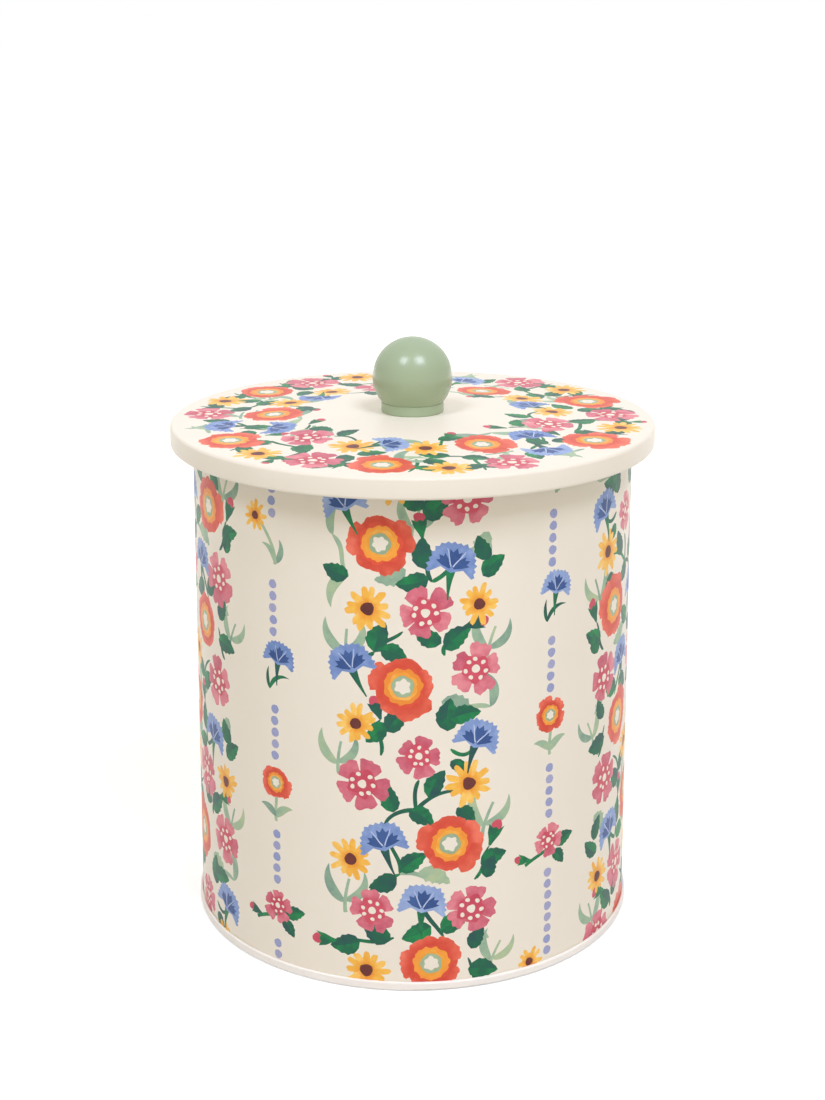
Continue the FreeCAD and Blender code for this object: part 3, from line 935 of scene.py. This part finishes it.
def on_sheet(angle, radius, height):
    """A point of a turned sheet, in the scene's metres; angle 0 is the front."""
    return (radius * sin(angle) * MM, -radius * cos(angle) * MM, height * MM)


class SheetMesh:
    """A sheet's mesh, gathered one triangle at a time."""

    def __init__(self):
        self.index_of = {}
        self.vertices, self.faces, self.slots = [], [], []
        self.normals, self.motifs, self.bakes = [], [], []

    def vertex(self, spot):
        key = tuple(round(v, 7) for v in spot)
        if key not in self.index_of:
            self.index_of[key] = len(self.vertices)
            self.vertices.append(spot)
        return self.index_of[key]

    def piece(self, name):
        mesh = bpy.data.meshes.new(name)
        mesh.from_pydata(self.vertices, [], self.faces)
        for paint in SLOT_ORDER:
            mesh.materials.append(MATERIALS[paint])
        mesh.polygons.foreach_set("material_index", self.slots)
        motif_layer = mesh.attributes.new("petal", "FLOAT_VECTOR", "CORNER")
        motif_layer.data.foreach_set("vector", self.motifs)
        bake_layer = mesh.uv_layers.new(name="OFBake")
        bake_layer.data.foreach_set("uv", self.bakes)
        mesh.normals_split_custom_set(self.normals)
        return show(name, mesh)


def turned_sheet(name, section, reach, shapes, ground_of, offset_of, bake_of, groove=None):
    """A closed sheet turned about Z, with painted shapes let into it.

    The section is unrolled into a flat strip: across is the angle times reach, up is the length
    along the section.  Shapes on the strip and the lines of a regular grid are triangulated
    together, so every shape keeps its own crisp outline and the sheet stays one closed mesh."""
    half = pi * reach
    points, edges, faces, owners = strip_drawing(section, half, shapes, groove)
    flat, _, triangles, _, _, covers = delaunay_2d_cdt(points, edges, faces, 0, 1e-5, True)
    sheet = SheetMesh()
    for triangle, cover in zip(triangles, covers):
        middle = sum(flat[i].y for i in triangle) / 3
        aside = abs(sum(flat[i].x for i in triangle) / 3)
        run = section.run_at(middle)
        in_groove = groove and aside > half - groove.half_width and groove.first < middle < groove.last
        indices, corners = [], []
        for i in triangle:
            angle, along = flat[i].x / reach, flat[i].y
            radius, height, normal = section.place_at(run, along)
            if groove and groove.first < along < groove.last and abs(flat[i].x) > half - 1e-3:
                radius -= groove.depth
            facing, rising, sloping = angle, normal.x, normal.y
            if in_groove:
                facing, rising, sloping = angle + copysign(GROOVE_LEAN, angle), 1.0, 0.0
            indices.append(sheet.vertex(on_sheet(angle, radius, height)))
            lean = (rising * sin(facing), -rising * cos(facing), sloping)
            corners.append((angle, along, radius, lean))
        if len(set(indices)) < 3:
            continue
        owner = owners[max(cover)] if cover else None
        paint = ground_of(middle) if owner is None else shapes[owner][0]
        sheet.faces.append(indices)
        sheet.slots.append(SLOT_ORDER.index(paint))
        centre = sum(corner[0] for corner in corners) / 3
        for angle, along, radius, lean in corners:
            sheet.normals.append(lean)
            sheet.bakes.extend(bake_of(angle, along, radius, centre, middle))
            if owner is None:
                sheet.motifs.extend((0.0, 0.0, 0.0))
                continue
            _, _, (x, y, size), tone = shapes[owner]
            across, up = offset_of(angle, along, radius, x, y)
            sheet.motifs.extend((across / size, up / size, tone))
    return sheet.piece(name)


# ---- the printed wall
WALL_RISE = (WALL_FOOT, PRINT_LOW, 40.0, 85.0, 130.0, PRINT_HIGH)
# The height where each garland's repeat starts, and whether it is mirrored.
GARLAND_PITCH = 72
GARLANDS = ((40, True), (100, False), (0, False), (66, True), (128, False))
# (degrees round, first sprig, height of that sprig, mirrored)
DOTTED_COLUMNS = ((-36, 2, 22, False), (36, 1, 2, False), (-108, 0, 8, True), (108, 3, 16, True))
# A motif cut off by the print's edge is left out when less than this share of it remains.
LEAST_SHARE = 0.08


def wall_section():
    """From the hook in the double seam up the outside, round the mouth curl and down the inside."""
    curl_middle = (WALL - SHEET + CURL, MOUTH - CURL)
    curl_start = degrees(atan2(-sqrt(CURL ** 2 - (CURL - SHEET) ** 2), SHEET - CURL))
    points = [(WALL, z) for z in WALL_RISE]
    points += arc(curl_middle, CURL, curl_start, 180, 14)
    points += [(WALL - SHEET, z) for z in (120.0, 60.0, WALL_FOOT)]
    return Section(points)


def wall_drawing():
    art = Drawing(11)
    for k, (start, flip) in enumerate(GARLANDS):
        garland(art, WALL * radians(GARLAND_PITCH * (k - len(GARLANDS) // 2)), start, flip)
    for around, *column in DOTTED_COLUMNS:
        dotted_column(art, WALL * radians(around), *column)
    return art.shapes


def build_wall():
    section = wall_section()
    low, top = (section.along[WALL_RISE.index(z)] for z in (PRINT_LOW, PRINT_HIGH))
    shapes = []
    for paint, outline, spot, tone in wall_drawing():
        moved = [(x, y - WALL_FOOT) for x, y in outline]
        kept = clipped(clipped(moved, 1, low, ABOVE), 1, top, BELOW)
        if tidy_outline(kept) and abs(signed_area(kept)) > LEAST_SHARE * abs(signed_area(moved)):
            shapes.append((paint, kept, spot, tone))

    def ground_of(along):
        return "cream" if along < top + ENAMEL_PAST_PRINT else "tinplate"

    def offset_of(angle, along, radius, x, y):
        half = pi * WALL
        return (angle * WALL - x + half) % (2 * half) - half, along + WALL_FOOT - y

    def bake_of(angle, along, radius, centre, middle):
        """The outside's two halves one above the other, and the rest in a strip beside them."""
        if middle < top:
            row = 0 if centre < 0 else 1
            across = (angle + pi) / pi - row
            return 0.005 + 0.70 * across, 0.005 + 0.495 * row + 0.485 * along / top
        inside = (along - top) / (section.along[-1] - top)
        return 0.73 + 0.26 * (angle + pi) / FULL_TURN, 0.01 + 0.98 * inside

    groove = Groove(first=low + 0.5, last=top + 0.3, half_width=0.25, depth=0.15)
    return turned_sheet("tin_wall", section, WALL, shapes, ground_of, offset_of, bake_of, groove)


def build_side_seam():
    """The flattened lock seam up the back, inside the wall."""
    inside = WALL - SHEET
    layers = (inside + 0.05, inside - 2 * SHEET)
    steps = 8
    half_angle = SIDE_SEAM_WIDTH / 2 / inside
    angles = [pi + half_angle * (2 * k / steps - 1) for k in range(steps + 1)]
    vertices = [on_sheet(a, r, z) for z in SIDE_SEAM_ENDS for r in layers for a in angles]
    faces = []

    def add_face(corners, outward):
        face = [(2 * level + layer) * len(angles) + k for level, layer, k in corners]
        faces.append(face if outward else face[::-1])

    for k in range(steps):
        for layer in (0, 1):
            add_face(((0, layer, k), (0, layer, k + 1), (1, layer, k + 1), (1, layer, k)), layer == 0)
        for level in (0, 1):
            add_face(((level, 0, k), (level, 1, k), (level, 1, k + 1), (level, 0, k + 1)), level == 0)
    for k in (0, steps):
        add_face(((0, 1, k), (0, 0, k), (1, 0, k), (1, 1, k)), k == 0)
    mesh = bpy.data.meshes.new("side_seam")
    mesh.from_pydata(vertices, [], faces)
    mesh.materials.append(MATERIALS["tinplate"])
    return show("side_seam", mesh)


# ---- the printed lid
EDGE_STEPS = 8
CROWN_STEPS = 16
HEM_STEPS = 12


def crown(base, order):
    """The dome's points above a base height, from its foot inwards or back."""
    points = []
    for k in order:
        t = k / CROWN_STEPS
        rise = (CROWN - LID_TOP) * (0.5 - 0.5 * cos(pi * t))
        points.append((CROWN_FOOT + (CROWN_FLAT - CROWN_FOOT) * t, base + rise))
    return points


def lid_section():
    """Up the skirt, over the edge and the crown to the screw hole, then back underneath to the hem."""
    low = SKIRT_FOOT + LID_HEM
    edge_middle = (LID - LID_EDGE, LID_TOP - LID_EDGE)
    inwards = range(CROWN_STEPS + 1)
    points = [(LID, low)]
    points += arc(edge_middle, LID_EDGE, 0, 90, EDGE_STEPS)
    points += crown(LID_TOP, inwards)
    points += [(KNOB_GROUND, CROWN), (SCREW_HOLE, CROWN), (SCREW_HOLE, CROWN - SHEET)]
    points += crown(LID_TOP - SHEET, inwards[::-1])
    points += arc(edge_middle, LID_EDGE - SHEET, 90, 0, 6)
    hem_inside, hem_rise = LID - 2 * LID_HEM, 0.8
    points.append((LID - SHEET, low + 2 * hem_rise))
    points += [(r, low + hem_rise) for r in (hem_inside + SHEET, hem_inside)]
    points += arc((LID - LID_HEM, low), LID_HEM, 180, 360, HEM_STEPS)
    return Section(points)


def wreath_on_strip(section, first, last):
    """The wreath, drawn flat, carried over to the strip between two points of the section."""
    def along_at(radius):
        for k in range(first, last):
            (r0, _), (r1, _) = section.points[k:k + 2]
            if radius >= r1:
                start, end = section.along[k:k + 2]
                return start + (end - start) * (radius - r0) / (r1 - r0)
        return section.along[last]

    art = Drawing(23)
    wreath(art)
    shapes = []
    for paint, outline, spot, tone in art.shapes:
        heading = atan2(spot[0], -spot[1])
        moved = []
        for x, y in outline:
            angle = heading + (atan2(x, -y) - heading + pi) % FULL_TURN - pi
            moved.append((angle * LID, along_at(hypot(x, y))))
        moved = clipped(moved, 1, section.along[first], ABOVE)
        if tidy_outline(moved):
            shapes.append((paint, moved, spot, tone))
    return shapes


def build_lid():
    section = lid_section()
    edge = EDGE_STEPS + 1
    middle = section.points.index((KNOB_GROUND, CROWN))
    shapes = wreath_on_strip(section, edge, middle)
    outer, inner, under = (section.along[k] for k in (edge, middle, middle + 2))
    hem = section.along[-HEM_STEPS - 1]

    def ground_of(along):
        return "tinplate" if under < along < hem else "cream"

    def offset_of(angle, along, radius, x, y):
        return radius * sin(angle) - x, -radius * cos(angle) - y

    def bake_of(angle, along, radius, centre, middle):
        """The top as a disc, with the skirt and the underside in strips above it."""
        turn = (angle + pi) / FULL_TURN
        if outer <= middle <= inner:
            scale = 0.43 / LID
            return 0.435 + radius * sin(angle) * scale, 0.435 - radius * cos(angle) * scale
        if middle < outer:
            return 0.01 + 0.98 * turn, 0.885 + 0.045 * along / outer
        return 0.01 + 0.98 * turn, 0.94 + 0.055 * (along - inner) / (section.along[-1] - inner)

    return turned_sheet("lid_top", section, LID, shapes, ground_of, offset_of, bake_of)


# ---- the room
WORLD_LEVEL = 0.42
WORLD_COLOUR = (1.0, 0.89, 0.65, 1.0)
FLOOR_COLOUR = (0.72, 0.72, 0.705, 1.0)
FLOOR_GLOW = (0.96, 0.98, 1.0, 1.0)
# The glow at the tin's foot and far from it, and between which distances it changes.
GLOW_NEAR, GLOW_FAR = 0.44, 1.0
GLOW_FROM, GLOW_TO = 0.16, 1.0
COOL_WHITE = (0.96, 1.0, 1.22)
WARM_WHITE = (1.0, 0.88, 0.6)
SOFT_WHITE = (1.0, 0.99, 1.04)

# name: (azimuth, elevation, distance, side, level, colour, mirrored in the tin)
SOFTBOXES = {
    "softbox_left": (-38, 55, 1.5, 0.42, 0.3, COOL_WHITE, True),
    "softbox_right": (33, 56, 1.5, 0.52, 0.43, COOL_WHITE, True),
    "fill_right": (50, 8, 1.7, 1.3, 0.05, COOL_WHITE, False),
    "fill_front": (0, 5, 1.9, 1.6, 0.13, WARM_WHITE, False),
    "back_left": (150, 18, 1.8, 1.0, 0.28, SOFT_WHITE, False),
    "back_right": (-155, 18, 1.8, 1.0, 0.28, SOFT_WHITE, False),
}


def looked_at(tree):
    """1 for what the camera sees directly, in a reflection or through glass, else 0."""
    rays = node(tree, "LightPath").outputs
    total = rays["Is Camera Ray"]
    for kind in ("Is Glossy Ray", "Is Transmission Ray"):
        total = maths(tree, "Math", "MAXIMUM", total, rays[kind])
    return total


def floor_material():
    """It takes the tin's shadow, and is plain white to the camera farther out."""
    material, tree, shader = new_material("studio_floor")
    tree.nodes.remove(shader)
    distance = maths(tree, "VectorMath", "LENGTH", node(tree, "NewGeometry").outputs["Position"])
    level = faded(tree, distance, GLOW_FROM, GLOW_TO, GLOW_NEAR, GLOW_FAR)
    glow = node(tree, "Emission", Color=FLOOR_GLOW)
    feed(tree, glow.inputs["Strength"], maths(tree, "Math", "MULTIPLY", looked_at(tree), level))
    both = node(tree, "AddShader")
    feed(tree, both.inputs[0], node(tree, "BsdfDiffuse", Color=FLOOR_COLOUR).outputs[0])
    feed(tree, both.inputs[1], glow.outputs[0])
    feed(tree, tree.nodes["Material Output"].inputs["Surface"], both.outputs[0])
    return material


def add_floor():
    half = 12.0
    corners = [(-half, -half, 0), (half, -half, 0), (half, half, 0), (-half, half, 0)]
    mesh = bpy.data.meshes.new("floor")
    mesh.from_pydata(corners, [], [(0, 1, 2, 3)])
    mesh.materials.append(floor_material())
    floor = show("floor", mesh)
    floor.location.z = -0.0002


def add_softbox(name, azimuth, elevation, distance, side, level, colour, mirrored):
    """An area light that lights a white card at the tin to the given level."""
    data = bpy.data.lights.new(name, "AREA")
    data.shape = "SQUARE"
    data.size = side
    data.color = colour
    data.energy = level * (pi * distance) ** 2
    lamp = show(name, data)
    a, e = radians(azimuth), radians(elevation)
    aim = Vector((0, 0, 0.1))
    away = Vector((sin(a) * cos(e), -cos(a) * cos(e), sin(e)))
    lamp.location = aim + away * distance
    lamp.rotation_euler = away.to_track_quat("Z", "Y").to_euler()
    lamp.visible_glossy = mirrored


def set_world():
    """Warm light on the tin, and plain white to look at."""
    world = bpy.data.worlds.new("studio")
    bpy.context.scene.world = world
    world.use_nodes = True
    tree = world.node_tree
    light = tree.nodes["Background"]
    set_values(light, {"Color": WORLD_COLOUR, "Strength": WORLD_LEVEL})
    white = node(tree, "Background", Color=(1, 1, 1, 1))
    mix = node(tree, "MixShader")
    for socket, source in zip(mix.inputs, (looked_at(tree), light.outputs[0], white.outputs[0])):
        feed(tree, socket, source)
    feed(tree, tree.nodes["World Output"].inputs["Surface"], mix.outputs[0])


add_floor()
set_world()
for name, softbox in SOFTBOXES.items():
    add_softbox(name, *softbox)
bpy.context.scene.view_settings.view_transform = "Standard"

# ---- the tin
wall = build_wall()
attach(wall, "tin")
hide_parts("body_wall")
seam = build_side_seam()
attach(seam, "tin")
lid = build_lid()
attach(lid, "lid")
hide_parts("lid_shell")

CAD_FINISH = {
    "base_panel": "rim", "lid_plug": "tinplate", "lid_seal": "seal", "knob": "knob",
    "knob_insert": "brass", "knob_washer": "steel", "knob_screw": "steel",
}
for name, finish in CAD_FINISH.items():
    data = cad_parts[name].data
    data.materials.clear()
    data.materials.append(MATERIALS[finish])
